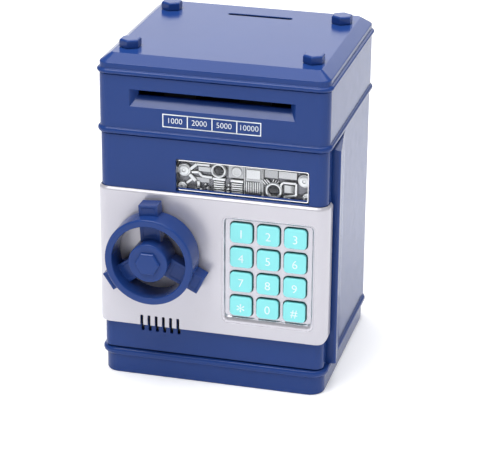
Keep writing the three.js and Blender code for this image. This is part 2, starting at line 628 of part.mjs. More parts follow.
const camHub = rod("y", [WHEEL_X, WHEEL_Z], 6, [CAM_FRONT, CAM_FRONT + CAM_THICK], 24);
const camArm = box([WHEEL_X - 4.5, WHEEL_X + 4.5], [CAM_FRONT, CAM_FRONT + CAM_THICK], [WHEEL_Z - CAM_REACH, WHEEL_Z]);
const camBore = rod("y", [WHEEL_X, WHEEL_Z], SHAFT_R + GAP, [-50, -30]);
add("latch_cam", cut(join(camHub, camArm), camBore), STEEL);

export default bank;
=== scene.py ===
"""Toy cash-machine savings bank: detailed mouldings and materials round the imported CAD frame."""
import math

import bmesh
import bpy
from mathutils import Matrix, Vector


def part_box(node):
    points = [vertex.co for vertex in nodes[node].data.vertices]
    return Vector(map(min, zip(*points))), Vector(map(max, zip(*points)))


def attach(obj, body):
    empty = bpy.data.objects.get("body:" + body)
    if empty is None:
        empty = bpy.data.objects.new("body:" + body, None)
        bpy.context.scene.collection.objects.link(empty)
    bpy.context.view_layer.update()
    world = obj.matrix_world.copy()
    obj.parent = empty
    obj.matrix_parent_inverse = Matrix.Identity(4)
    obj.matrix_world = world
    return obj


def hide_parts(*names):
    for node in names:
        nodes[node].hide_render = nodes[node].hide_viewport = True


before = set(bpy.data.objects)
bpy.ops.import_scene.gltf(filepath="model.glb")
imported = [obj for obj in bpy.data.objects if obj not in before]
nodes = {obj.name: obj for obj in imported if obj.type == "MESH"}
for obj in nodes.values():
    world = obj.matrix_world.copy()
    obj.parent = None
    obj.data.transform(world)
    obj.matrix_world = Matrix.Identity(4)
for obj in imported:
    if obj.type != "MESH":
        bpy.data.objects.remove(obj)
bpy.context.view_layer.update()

MM = 0.001
DEG = math.pi / 180


# ---------------------------------------------------------------- places read from the frame
def span(node, axis):
    """Low and high ends of a CAD node along one axis, in millimetres."""
    low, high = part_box(node)
    return low[axis] / MM, high[axis] / MM


def middle(node, axis):
    low, high = span(node, axis)
    return (low + high) / 2


X, Y, Z = 0, 1, 2
BEAD_X = span("head_shell", X)[1]
BEAD_Y = span("head_shell", Y)[1]
HEAD_BOTTOM, HEAD_TOP = span("head_shell", Z)
LID_BOTTOM, LID_TOP = span("top_lid", Z)
STUD_TOP = span("lid_stud_fl", Z)[1]
BASE_TOP = span("base_tray", Z)[1]
BODY_BOTTOM, BODY_TOP = span("body_shell", Z)
BODY_FRONT, BODY_BACK = span("body_shell", Y)
DOOR_FRONT, DOOR_BACK = span("door_shell", Y)
DOOR_BOTTOM, DOOR_TOP = span("door_shell", Z)
DOOR_X = span("door_shell", X)[1]
PANEL_X = span("front_panel", X)[1]
PANEL_FRONT = span("front_panel", Y)[0]
PANEL_RETURN = -48  # the panel's sides reach back to here
PANEL_BOTTOM, PANEL_TOP = span("front_panel", Z)
WHEEL_X = middle("wheel_cap", X)
WHEEL_Z = middle("wheel_cap", Z)
WHEEL_BACK = span("handwheel", Y)[1]


# ---------------------------------------------------------------- material nodes
FLOW_SCALE = 22.0  # noise and pattern scales count repeats per metre of the object
PAPER_SCALE = 40.0
HAZE_SCALE = 60.0
GLOSS_SCALE = 160.0
PAINT_SCALE = 240.0
SPECKLE_SCALE = 500.0
RELIEF_GRAIN_SCALE = 1100.0
GRAIN_SCALE = 1500.0
FLAKE_SCALE = 2600.0
DRAWN_SCALE = 900.0
TRACK_SCALE = 240.0
GLOSS_SPREAD = 0.02
SKIN_DEPTH = 0.0002
# darkest share of the base colour that the painted crevice shade leaves
CREVICE_SHADE_FLOOR = 0.06
MIX_FACTOR, MIX_FIRST, MIX_SECOND, MIX_RESULT = 0, 6, 7, 2  # a colour Mix node's sockets


def shader(name, color, roughness, metallic=0.0, **sockets):
    material = bpy.data.materials.new(name)
    material.use_nodes = True
    principled = material.node_tree.nodes["Principled BSDF"]
    principled.inputs["Base Color"].default_value = (*color, 1)
    principled.inputs["Roughness"].default_value = roughness
    principled.inputs["Metallic"].default_value = metallic
    for socket, value in sockets.items():
        principled.inputs[socket.replace("_", " ")].default_value = value
    return material, principled


def node(material, kind, **settings):
    """Adds a shader node; each setting goes to the socket or the property of that name."""
    made = material.node_tree.nodes.new(kind)
    for key, value in settings.items():
        if key in made.inputs:
            made.inputs[key].default_value = value
        else:
            setattr(made, key, value)
    return made


def link(material, out, into):
    material.node_tree.links.new(out, into)


def object_point(material):
    return node(material, "ShaderNodeTexCoord").outputs["Object"]


def noise(material, scale, detail=4.0, stretch=None):
    made = node(material, "ShaderNodeTexNoise", Scale=scale, Detail=detail)
    point = object_point(material)
    if stretch:
        mapping = node(material, "ShaderNodeMapping")
        mapping.inputs["Scale"].default_value = stretch
        link(material, point, mapping.inputs["Vector"])
        point = mapping.outputs["Vector"]
    link(material, point, made.inputs["Vector"])
    return made.outputs["Fac"]


def remap(material, value, low, high, out_low, out_high):
    made = node(material, "ShaderNodeMapRange")
    made.inputs["From Min"].default_value = low
    made.inputs["From Max"].default_value = high
    made.inputs["To Min"].default_value = out_low
    made.inputs["To Max"].default_value = out_high
    link(material, value, made.inputs["Value"])
    return made.outputs["Result"]


def varied(material, value, low, high):
    """Spreads a noise value's usual range over low to high."""
    return remap(material, value, 0.3, 0.7, low, high)


def blend_color(material, factor, first, second):
    made = node(material, "ShaderNodeMix", data_type="RGBA")
    for socket, color in ((MIX_FIRST, first), (MIX_SECOND, second)):
        if isinstance(color, tuple):
            made.inputs[socket].default_value = (*color, 1)
        else:
            link(material, color, made.inputs[socket])
    link(material, factor, made.inputs[MIX_FACTOR])
    return made.outputs[MIX_RESULT]


def bump(material, principled, height, strength, distance):
    made = node(material, "ShaderNodeBump", Strength=strength, Distance=distance)
    link(material, height, made.inputs["Height"])
    link(material, made.outputs["Normal"], principled.inputs["Normal"])


def moulded(name, color, deep, roughness, grain_strength=0.02, **sockets):
    """Injection-moulded plastic: faint flow variation in colour and gloss, and a very fine skin texture."""
    material, principled = shader(name, color, roughness, **sockets)
    flow = noise(material, FLOW_SCALE, 3.0, (1, 1, 0.35))
    tint = remap(material, flow, 0.35, 0.65, 0.0, 1.0)
    link(material, blend_color(material, tint, color, deep), principled.inputs["Base Color"])
    uneven = noise(material, GLOSS_SCALE, 5.0)
    gloss = varied(material, uneven, roughness - GLOSS_SPREAD, roughness + GLOSS_SPREAD)
    link(material, gloss, principled.inputs["Roughness"])
    bump(material, principled, noise(material, GRAIN_SCALE, 2.0), grain_strength, SKIN_DEPTH)
    return material


BLUE_LIGHT = (0.014, 0.046, 0.200)
BLUE_DEEP = (0.013, 0.043, 0.190)
blue = moulded("navy_plastic", BLUE_LIGHT, BLUE_DEEP, 0.2, IOR=1.31)
black = moulded("black_plastic", (0.010, 0.010, 0.012), (0.014, 0.014, 0.016), 0.5, grain_strength=0.12)
rubber = moulded("grey_rubber", (0.045, 0.045, 0.047), (0.03, 0.03, 0.032), 0.85, grain_strength=0.3)
white_ink = moulded("white_ink", (0.86, 0.90, 0.92), (0.80, 0.86, 0.90), 0.45)


def silver_paint(name, gloss_low, gloss_high, metallic):
    """Silver paint: a fine flake sparkle under a soft clear coat."""
    material, principled = shader(name, (0.54, 0.53, 0.58), gloss_low, metallic, Coat_Weight=0.15)
    flakes = node(material, "ShaderNodeTexVoronoi", Scale=FLAKE_SCALE)
    link(material, object_point(material), flakes.inputs["Vector"])
    sparkle = remap(material, flakes.outputs["Distance"], 0.0, 0.9, 0.0, 1.0)
    tint = blend_color(material, sparkle, (0.55, 0.54, 0.59), (0.52, 0.51, 0.56))
    link(material, tint, principled.inputs["Base Color"])
    gloss = varied(material, noise(material, PAINT_SCALE, 4.0), gloss_low, gloss_high)
    link(material, gloss, principled.inputs["Roughness"])
    return material


def painted_depth_shade(name, near, shade_color, front, back, roughness, metallic, crevice=0.0, **sockets):
    """Painted shade: colour that darkens from the front of a piece towards its back, standing in for the
    shade in a narrow gap.
    """
    material, principled = shader(name, near, roughness, metallic, **sockets)
    axes = node(material, "ShaderNodeSeparateXYZ")
    link(material, object_point(material), axes.inputs["Vector"])
    depth = remap(material, axes.outputs["Y"], front * MM, back * MM, 0.0, 1.0)
    tint = blend_color(material, depth, near, shade_color)
    speckle = varied(material, noise(material, SPECKLE_SCALE, 3.0), roughness - 0.05, roughness + 0.05)
    link(material, tint, principled.inputs["Base Color"])
    if crevice:
        shade_crevices(material, principled, crevice)
    link(material, speckle, principled.inputs["Roughness"])
    bump(material, principled, noise(material, RELIEF_GRAIN_SCALE, 2.0), 0.08, SKIN_DEPTH)
    return material


def shade_crevices(material, principled, reach):
    """Paints shade into the base colour where neighbouring surfaces of the same piece close in."""
    occlusion = node(material, "ShaderNodeAmbientOcclusion", Distance=reach * MM, only_local=True)
    shade = remap(material, occlusion.outputs["AO"], 0.35, 0.95, CREVICE_SHADE_FLOOR, 1.0)
    mix = node(material, "ShaderNodeMix", data_type="RGBA", blend_type="MULTIPLY")
    mix.inputs[MIX_FACTOR].default_value = 1.0
    source = principled.inputs["Base Color"].links[0].from_socket
    link(material, source, mix.inputs[MIX_FIRST])
    link(material, shade, mix.inputs[MIX_SECOND])
    link(material, mix.outputs[MIX_RESULT], principled.inputs["Base Color"])


def clear_plastic():
    """Thin clear sheet with a trace of haze."""
    tint = (0.97, 0.985, 0.99)
    material, principled = shader("clear_plastic", tint, 0.01, Transmission_Weight=1.0, IOR=1.2)
    haze = varied(material, noise(material, HAZE_SCALE, 3.0), 0.0, 0.008)
    link(material, haze, principled.inputs["Roughness"])
    return material


def metal(name, color, roughness, stretch):
    """Plated or turned steel with fine drawn lines."""
    material, principled = shader(name, color, roughness, 1.0)
    lines = noise(material, DRAWN_SCALE, 3.0, stretch)
    gloss = varied(material, lines, roughness - 0.08, roughness + 0.08)
    link(material, gloss, principled.inputs["Roughness"])
    bump(material, principled, lines, 0.08, 0.0001)
    return material


def circuit():
    """Green solder mask with straight tracks."""
    material, principled = shader("solder_mask", (0.01, 0.12, 0.04), 0.35)
    tracks = node(material, "ShaderNodeTexBrick", Scale=TRACK_SCALE)
    tracks.inputs["Mortar Size"].default_value = 0.03
    axes = node(material, "ShaderNodeSeparateXYZ")
    flat = node(material, "ShaderNodeCombineXYZ")
    link(material, object_point(material), axes.inputs["Vector"])
    link(material, axes.outputs["X"], flat.inputs["X"])
    link(material, axes.outputs["Z"], flat.inputs["Y"])
    link(material, flat.outputs["Vector"], tracks.inputs["Vector"])
    tint = blend_color(material, tracks.outputs["Fac"], (0.008, 0.10, 0.035), (0.03, 0.26, 0.10))
    link(material, tint, principled.inputs["Base Color"])
    return material


silver = silver_paint("silver_paint", 0.28, 0.32, 0.42)
silver_gloss = silver_paint("silver_paint_gloss", 0.16, 0.2, 0.6)
KEY_FACE = span("key_5", Y)[0]
# Key sides darken from the face back to the flange: painted shade of the gap round each key.
turquoise = painted_depth_shade(
    "turquoise_key", (0.24, 0.75, 0.77), (0.0, 0.10, 0.098),
    KEY_FACE + 0.25, KEY_FACE + 2.4, 0.36, 0.0,
)
RELIEF_BACK = span("mechanism_relief", Y)[1]
RELIEF_GROUND = RELIEF_BACK - 2.5
# The metallised relief runs from near white on its raised tops to dark grey on its ground, with its crevices
# darkened: painted highlight and painted shade.
chrome = painted_depth_shade(
    "metallised_relief", (0.98, 0.98, 1.0), (0.16, 0.16, 0.19),
    RELIEF_GROUND - 1.7, RELIEF_GROUND + 0.1, 0.18, 0.35, 1.2,
)
# The lens domes darken towards their foot: painted shade.
lens_dark = painted_depth_shade(
    "relief_lens", (0.05, 0.05, 0.06), (0.008, 0.008, 0.01),
    RELIEF_GROUND - 2, RELIEF_GROUND, 0.1, 0.2,
)
chrome_bright = metal("bezel_chrome", (0.93, 0.93, 0.95), 0.2, (1, 1, 1))
clear = clear_plastic()
steel = metal("zinc_steel", (0.44, 0.45, 0.47), 0.32, (1, 1, 0.05))
jacket = metal("cell_jacket_steel", (0.06, 0.06, 0.075), 0.4, (0.05, 1, 1))
board = circuit()


# ---------------------------------------------------------------- mesh code
MERGE_DISTANCE = 2e-6
FLAT_ANGLE = 0.3 * DEG


def ring(half_x, half_y, r, steps=8, centre=(0, 0)):
    """Points round a rectangle with rounded corners, anticlockwise."""
    points = []
    for corner, (side_x, side_y) in enumerate(((1, 1), (-1, 1), (-1, -1), (1, -1))):
        for i in range(steps + 1):
            angle = (corner + i / steps) * math.pi / 2
            x = centre[0] + side_x * (half_x - r) + r * math.cos(angle)
            y = centre[1] + side_y * (half_y - r) + r * math.sin(angle)
            points.append((x, y))
    return points


def loft(sections):
    """A closed solid through rings of equal count, each a list of points and its height."""
    bm = bmesh.new()
    rows = [[bm.verts.new((x * MM, y * MM, z * MM)) for x, y in points] for points, z in sections]
    count = len(rows[0])
    for low, high in zip(rows, rows[1:]):
        for i in range(count):
            j = (i + 1) % count
            bm.faces.new((low[i], low[j], high[j], high[i]))
    bm.faces.new(rows[0][::-1])
    bm.faces.new(rows[-1])
    return bm


def prism(points, z0, z1):
    return loft([(points, z0), (points, z1)])


def block(x, y, z):
    """A box between the two ends given for each axis."""
    centre = ((x[0] + x[1]) / 2, (y[0] + y[1]) / 2)
    half_x = (x[1] - x[0]) / 2
    half_y = (y[1] - y[0]) / 2
    corners = [(half_x, half_y), (-half_x, half_y), (-half_x, -half_y), (half_x, -half_y)]
    return prism([(centre[0] + a, centre[1] + b) for a, b in corners], z[0], z[1])


def circle(r, sides, centre=(0, 0), turn=0.0):
    angles = [turn + 2 * math.pi * i / sides for i in range(sides)]
    return [(centre[0] + r * math.cos(a), centre[1] + r * math.sin(a)) for a in angles]


def turned(profile, sides, centre=(0, 0), turn=0.0):
    """A solid of revolution about a local z line, from radius and height pairs."""
    return loft([(circle(r, sides, centre, turn), h) for r, h in profile])


def arc(centre, r, start, end, steps):
    """Points of a profile arc, angles in degrees."""
    points = []
    for i in range(steps + 1):
        angle = (start + (end - start) * i / steps) * DEG
        points.append((centre[0] + r * math.cos(angle), centre[1] + r * math.sin(angle)))
    return points


def facing(bm, y):
    """Stands up a solid drawn in (x, z), so that its height 0 lies at y and it rises towards the front."""
    bm.transform(Matrix.Translation((0, y * MM, 0)) @ Matrix.Rotation(math.pi / 2, 4, "X"))
    return bm


def together(*solids):
    """One mesh that holds every solid, left as separate shells."""
    joined = bmesh.new()
    for bm in solids:
        mesh = bpy.data.meshes.new("part")
        bm.to_mesh(mesh)
        bm.free()
        joined.from_mesh(mesh)
        bpy.data.meshes.remove(mesh)
    return joined


def to_object(name, bm):
    bmesh.ops.recalc_face_normals(bm, faces=bm.faces)
    mesh = bpy.data.meshes.new(name)
    bm.to_mesh(mesh)
    bm.free()
    obj = bpy.data.objects.new(name, mesh)
    bpy.context.scene.collection.objects.link(obj)
    return obj


def combine(obj, operation, *tools):
    """Cuts or joins solids into obj, one after the other."""
    for bm in tools:
        tool = to_object("tool", bm)
        modifier = obj.modifiers.new("combine", "BOOLEAN")
        modifier.operation = operation
        modifier.solver = "EXACT"
        modifier.object = tool
        depsgraph = bpy.context.evaluated_depsgraph_get()
        mesh = bpy.data.meshes.new_from_object(obj.evaluated_get(depsgraph))
        obj.modifiers.clear()
        obj.data = mesh
        bpy.data.objects.remove(tool)
    return obj


def carve(obj, *tools):
    return combine(obj, "DIFFERENCE", *tools)


def weld(obj, *tools):
    return combine(obj, "UNION", *tools)


def dress(obj, material, body, replaced=(), radius=0.35, segments=2, sharp=35, outward=False):
    """Rounds the edges sharper than an angle, or only the outward ones, and rides the piece on a body."""
    bm = bmesh.new()
    bm.from_mesh(obj.data)
    bmesh.ops.remove_doubles(bm, verts=bm.verts, dist=MERGE_DISTANCE)
    bmesh.ops.dissolve_limit(bm, angle_limit=FLAT_ANGLE, verts=bm.verts, edges=bm.edges)
    for face in bm.faces:
        face.smooth = True
    weight = bm.edges.layers.float.new("bevel_weight_edge")
    for edge in bm.edges:
        if edge.calc_face_angle(0) > sharp * DEG:
            edge[weight] = float(edge.is_convex)
            edge.smooth = radius > 0 and (edge.is_convex or not outward)
    bm.to_mesh(obj.data)
    bm.free()
    obj.data.materials.clear()
    obj.data.materials.append(material)
    if radius:
        bevel = obj.modifiers.new("edges", "BEVEL")
        bevel.width = radius * MM
        bevel.segments = segments
        bevel.limit_method = "WEIGHT" if outward else "ANGLE"
        bevel.angle_limit = sharp * DEG
        bevel.use_clamp_overlap = False
        bevel.harden_normals = False
    normals = obj.modifiers.new("normals", "WEIGHTED_NORMAL")
    normals.keep_sharp = True
    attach(obj, body)
    if replaced:
        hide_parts(*replaced)


def lettering(name, text, size, x, z, y, body, depth=0.06, thin=0.05):
    """Flat printed characters that face the front, centred on x and z."""
    curve = bpy.data.curves.new(name, "FONT")
    curve.body = text
    curve.size = size * MM
    curve.extrude = depth * MM / 2
    curve.align_x = "CENTER"
    curve.align_y = "CENTER"
    curve.resolution_u = 6
    curve.offset = -thin * MM
    source = bpy.data.objects.new(name + "_curve", curve)
    bpy.context.scene.collection.objects.link(source)
    mesh = bpy.data.meshes.new_from_object(source.evaluated_get(bpy.context.evaluated_depsgraph_get()))
    bpy.data.objects.remove(source)
    mesh.transform(Matrix.Translation((x * MM, y * MM, z * MM)) @ Matrix.Rotation(math.pi / 2, 4, "X"))
    mesh.materials.clear()
    mesh.materials.append(white_ink)
    obj = bpy.data.objects.new(name, mesh)
    bpy.context.scene.collection.objects.link(obj)
    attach(obj, body)


# ---------------------------------------------------------------- case: lid, head, body, base
CORNER_R = 7


def case_ring(inset, r=None):
    """The head and lid's outline over the beads, moved inward by inset."""
    radius = max(CORNER_R - inset, 1.2) if r is None else r
    return ring(BEAD_X - inset, BEAD_Y - inset, radius)


def bead(z0, z1, depth):
    """Sections of a half-round bead that stands proud of a wall set back by depth."""
    centre = (z0 + z1) / 2
    half = (z1 - z0) / 2
    rows = []
    for i in range(9):
        angle = (-90 + 180 * i / 8) * DEG
        rows.append((case_ring(depth * (1 - math.cos(angle))), centre + half * math.sin(angle)))
    return rows


LID_WALL_INSET = 1.5
LID_BEAD = 2.8
PLATEAU_INSET = 7.5
PLATEAU_R = 2.6
lid = to_object("top_lid_moulding", loft(
    bead(LID_BOTTOM, LID_BOTTOM + LID_BEAD, LID_WALL_INSET)
    + [(case_ring(LID_WALL_INSET), LID_BOTTOM + 5.6), (case_ring(LID_WALL_INSET + 0.25), LID_BOTTOM + 6.1)]
    + [(case_ring(PLATEAU_INSET, PLATEAU_R), LID_TOP)]
))
COIN_SLOT_X = (-16, 21.4)
COIN_SLOT_HALF = (18.7, 1.8)
SLOT_POCKET_HALF = (22, 5)
coin_slot_centre = (sum(COIN_SLOT_X) / 2, 35)
coin_slot_ring = ring(*COIN_SLOT_HALF, 1.6, 5, coin_slot_centre)
carve(
    lid,
    loft([
        (case_ring(4), LID_BOTTOM - 1),
        (case_ring(4), LID_BOTTOM + 4),
        (case_ring(9.5, 2), LID_TOP - 2.2),
    ]),
    prism(coin_slot_ring, LID_TOP - 5, LID_TOP + 2),
    prism(ring(*SLOT_POCKET_HALF, 1, 3, coin_slot_centre), LID_TOP - 3, LID_TOP - 0.9),
)
dress(lid, blue, "housing", ["top_lid"], 0.3, 3, 28)

for corner in ("fl", "fr", "bl", "br"):
    name = "lid_stud_" + corner
    x = middle(name, X)
    y = middle(name, Y)
    low = span(name, Z)[0]
    r = (span(name, Y)[1] - span(name, Y)[0]) / 2
    profile = [(r, low), (r, STUD_TOP - 0.9), (r - 0.35, STUD_TOP - 0.35), (r - 1.1, STUD_TOP)]
    stud = to_object(name + "_moulding", turned(profile, 6, (x, y), math.pi / 2))
    dress(stud, blue, "housing", [name], 0.12, 2, 20)

HEAD_INSET = 1.3
HEAD_BEAD = 3.4
HEAD_HOLLOW_INSET = 3.3
HEAD_FRONT = -(BEAD_Y - HEAD_INSET)
RECESS = (46, (160.4, 170.3))  # half width, then the lower and upper ends
NOTE_SLOT = (42.3, (165.8, 168.4))
RECESS_DEPTH = 5
head = to_object("head_moulding", loft(
    bead(HEAD_BOTTOM, HEAD_BOTTOM + HEAD_BEAD, HEAD_INSET) + [(case_ring(HEAD_INSET), HEAD_TOP)]
))


def slot_rectangle(size):
    half_x, (z0, z1) = size
    return ring(half_x, (z1 - z0) / 2, 0.35, 3, (0, (z0 + z1) / 2))


# Hollow inside, open down into the body, with a thicker wall for the note slot.
carve(
    head,
    prism(case_ring(HEAD_HOLLOW_INSET), HEAD_BOTTOM + 2, HEAD_TOP + 1),
    prism(ring(46, 47, 3), HEAD_BOTTOM - 1, HEAD_BOTTOM + 3),
)
weld(head, block((-50, 50), (HEAD_FRONT + 1, HEAD_FRONT + 7), (156, 174)))
carve(
    head,
    facing(loft([(slot_rectangle(NOTE_SLOT), -RECESS_DEPTH), (slot_rectangle(RECESS), 0.05)]), HEAD_FRONT),
    block((-NOTE_SLOT[0], NOTE_SLOT[0]), (HEAD_FRONT - 2, HEAD_FRONT + 9), NOTE_SLOT[1]),
)
dress(head, blue, "housing", ["head_shell"], 0.22, 2, 28)

# Printed row of four amounts under the note slot.
AMOUNTS = ("1000", "2000", "5000", "10000")
AMOUNT_SIZE = 4.4
LABEL_HALF = 27.4
LABEL_Z = (150.6, 158.2)
LABEL_LINE = 0.55
INK = 0.06
cell = 2 * LABEL_HALF / len(AMOUNTS)
lower_line = (LABEL_Z[0], LABEL_Z[0] + LABEL_LINE)
upper_line = (LABEL_Z[1] - LABEL_LINE, LABEL_Z[1])
between_lines = (LABEL_Z[0] + LABEL_LINE, LABEL_Z[1] - LABEL_LINE)


def printed_bar(x, z):
    return facing(block(x, z, (0.0, INK)), HEAD_FRONT)


frames = []
for i, amount in enumerate(AMOUNTS):
    x0 = -LABEL_HALF + i * cell
    lettering(
        "amount_" + amount, amount, AMOUNT_SIZE,
        x0 + cell / 2, sum(LABEL_Z) / 2, HEAD_FRONT - INK / 2, "housing",
    )
    frames.append(printed_bar((x0, x0 + cell), lower_line))
    frames.append(printed_bar((x0, x0 + cell), upper_line))
    frames.append(printed_bar((x0, x0 + LABEL_LINE), between_lines))
frames.append(printed_bar((LABEL_HALF - LABEL_LINE, LABEL_HALF), between_lines))
dress(to_object("amount_frames", together(*frames)), white_ink, "housing", radius=0)

BODY_X = BEAD_X - 1.6
BODY_R = 6
DOORWAY_HALF = 57.5
WALL = 2
SEAM = 0.28  # the body reaches almost to its neighbours, so that no light shows between them
JAMB_X = span("body_shell", X)[1]
JAMB_ROOT = 61
JAMB_TOP = 143.6
JAMB_R = 1.3
JAMB_SLOPE = 0.3
JAMB_BACK = -14
body_middle = (BODY_FRONT + BODY_BACK) / 2
body_half = (BODY_BACK - BODY_FRONT) / 2


def body_ring(inset, r):
    return ring(BODY_X - inset, body_half - inset, r, 8, (0, body_middle))


body = to_object("body_moulding", prism(body_ring(0, BODY_R), BODY_BOTTOM - SEAM, BODY_TOP + SEAM))
jamb_plan = (
    [(JAMB_ROOT, BODY_FRONT)]
    + arc((JAMB_X - JAMB_R, BODY_FRONT + JAMB_R), JAMB_R, -90, 0, 6)
    + [(JAMB_X - 0.4, BODY_FRONT + 4), (64.6, -20), (BODY_X - 0.05, JAMB_BACK), (JAMB_ROOT, JAMB_BACK)]
)
jamb = prism(jamb_plan, BODY_BOTTOM - SEAM, JAMB_TOP)
# The jamb's top slopes down and outward.
for vert in jamb.verts:
    if vert.co.z > (JAMB_TOP - 1) * MM:
        vert.co.z -= JAMB_SLOPE * (vert.co.x - JAMB_ROOT * MM)
# The strip squares the shell's front corners, before the inside and the doorway are cut.
strip = block((-BODY_X, BODY_X), (BODY_FRONT, BODY_FRONT + 8), (BODY_BOTTOM - SEAM, BODY_TOP + SEAM))
weld(body, strip, jamb)
through_body = (BODY_BOTTOM - 1, BODY_TOP + 1)
carve(
    body,
    prism(body_ring(WALL, BODY_R - WALL), *through_body),
    block((-BODY_X + WALL, BODY_X - WALL), (BODY_FRONT + WALL, BODY_FRONT + 12), through_body),
    block((-DOORWAY_HALF, DOORWAY_HALF), (BODY_FRONT - 2, BODY_FRONT + 6), through_body),
)
dress(body, blue, "housing", ["body_shell"], 0.3, 2, 28)

BASE_X = 63.4
BASE_Y = 57.4
BASE_R = 8.5
BASE_FLOOR = 3
BASE_BEAD = 2  # how far the bead stands out at the sides
BASE_BEAD_BACK = 0.3
BEAD_HALF = 2.1
SCREW_POST_R = 4.4
SCREW_WELL_R = 3.2


def base_ring(inset):
    return ring(BASE_X - inset, BASE_Y - inset, BASE_R - inset * 0.5)


def base_bead_ring(out):
    """The bead stands out least at the front, so its ring is centred a little further back."""
    reach = out / 2
    return ring(BASE_X + out, BASE_Y + out * 0.85, BASE_R + reach, 8, (0, BASE_BEAD_BACK * out / 2))


bead_rows = []
for i in range(1, 9):
    angle = (-90 + 180 * i / 9) * DEG
    height = BASE_TOP - BEAD_HALF + BEAD_HALF * math.sin(angle)
    bead_rows.append((base_bead_ring(BASE_BEAD * math.cos(angle)), height))
base = to_object("base_moulding", loft(
    [(base_ring(0.9), 0), (base_ring(0.25), 0.3), (base_ring(0), 0.9)]
    + [(base_ring(0), BASE_TOP - 2 * BEAD_HALF)]
    + bead_rows
    + [(base_ring(0.6), BASE_TOP)]
))
carve(base, prism(ring(58, 53, 4), BASE_FLOOR, BASE_TOP + 5))
SCREWS = [(middle(f"base_screw_{i}", X), middle(f"base_screw_{i}", Y)) for i in (1, 2, 3, 4)]
weld(base, together(*[prism(circle(SCREW_POST_R, 28, place), 1, BASE_TOP - 0.05) for place in SCREWS]))
carve(base, together(*[prism(circle(SCREW_WELL_R, 28, place), -1, BASE_FLOOR) for place in SCREWS]))
dress(base, blue, "housing", ["base_tray"], radius=0)

# ---------------------------------------------------------------- door shell and silver panel
OPEN_BACK = 20


def wrap_ring(half_x, front, inset, r):
    """Outline of a shell that wraps the front; its back end lies behind the cut at the door's back."""
    half_y = (OPEN_BACK - front) / 2
    return ring(half_x - inset, half_y - inset, max(r - inset, 1), 10, (0, (front + OPEN_BACK) / 2))


def behind(y):
    """Everything behind y, to cut a wrapped shell open at its back."""
    return block((-80, 80), (y, 40), (0, 200))


KEYPAD = (32.3, 72.3)
KEYPAD_HALF = (25.6, 30.3)
PAN_FLOOR = -57.7
WINDOW_X = (-19.5, 53.5)
WINDOW_Z = (114.6, 132.1)
SPEAKER_Z = (27.9, 38.3)
SPEAKER_X = [-40 + 4.2 * i for i in range(6)]
SPEAKER_HALF = 0.85
SHAFT_HOLE_R = 4.6


def door_openings():
    """The openings that run through both the panel and the door: speaker slots and the wheel shaft's hole."""
    half_z = (SPEAKER_Z[1] - SPEAKER_Z[0]) / 2
    slots = [
        facing(prism(ring(SPEAKER_HALF, half_z, 0.6, 4, (x, sum(SPEAKER_Z) / 2)), 0, 15), -55)
        for x in SPEAKER_X
    ]
    hole = facing(prism(circle(SHAFT_HOLE_R, 36, (WHEEL_X, WHEEL_Z)), 0, 15), -55)
    return together(*slots, hole)


SKIRT_TOP = 31.6
SKIRT_INSET = 0.8
DOOR_WALL = 1.8
DOOR_R = 6
door = to_object("door_moulding", loft([
    (wrap_ring(DOOR_X, DOOR_FRONT, SKIRT_INSET, DOOR_R), DOOR_BOTTOM),
    (wrap_ring(DOOR_X, DOOR_FRONT, SKIRT_INSET, DOOR_R), SKIRT_TOP),
    (wrap_ring(DOOR_X, DOOR_FRONT, 0, DOOR_R), SKIRT_TOP + 0.1),
    (wrap_ring(DOOR_X, DOOR_FRONT, 0, DOOR_R), DOOR_TOP),
]))
carve(
    door,
    behind(DOOR_BACK),
    loft([
        (wrap_ring(DOOR_X, DOOR_FRONT, DOOR_WALL + SKIRT_INSET, DOOR_R), DOOR_BOTTOM + DOOR_WALL),
        (wrap_ring(DOOR_X, DOOR_FRONT, DOOR_WALL + SKIRT_INSET, DOOR_R), SKIRT_TOP),
        (wrap_ring(DOOR_X, DOOR_FRONT, DOOR_WALL, DOOR_R), SKIRT_TOP + 0.1),
        (wrap_ring(DOOR_X, DOOR_FRONT, DOOR_WALL, DOOR_R), DOOR_TOP - DOOR_WALL),
    ]),
)
window_centre = (sum(WINDOW_X) / 2, sum(WINDOW_Z) / 2)
window_half = ((WINDOW_X[1] - WINDOW_X[0]) / 2, (WINDOW_Z[1] - WINDOW_Z[0]) / 2)
SILL_DROP = 0.5
WINDOW_EASE = 0.7
pan_opening = ring(KEYPAD_HALF[0] + 1.3, KEYPAD_HALF[1] + 2.9, 3, 6, (KEYPAD[0], KEYPAD[1] - 1))


def window_ring(drop, wider=0.0):
    """The opening's outline, made wider all round, with its lower edge brought down."""
    centre = (window_centre[0], window_centre[1] - drop / 2)
    return ring(window_half[0] + wider, window_half[1] + wider + drop / 2, 1.0, 4, centre)


window_flare = loft([(window_ring(0, WINDOW_EASE), -1.6), (window_ring(SILL_DROP, WINDOW_EASE), 0.02)])
carve(
    door,
    facing(prism(window_ring(0, WINDOW_EASE), -4, 4), DOOR_FRONT),
    facing(window_flare, DOOR_FRONT),
    facing(prism(pan_opening, -6, 4), DOOR_FRONT),
    door_openings(),
)
dress(door, blue, "door", ["door_shell"], 0.18, 2, 30)

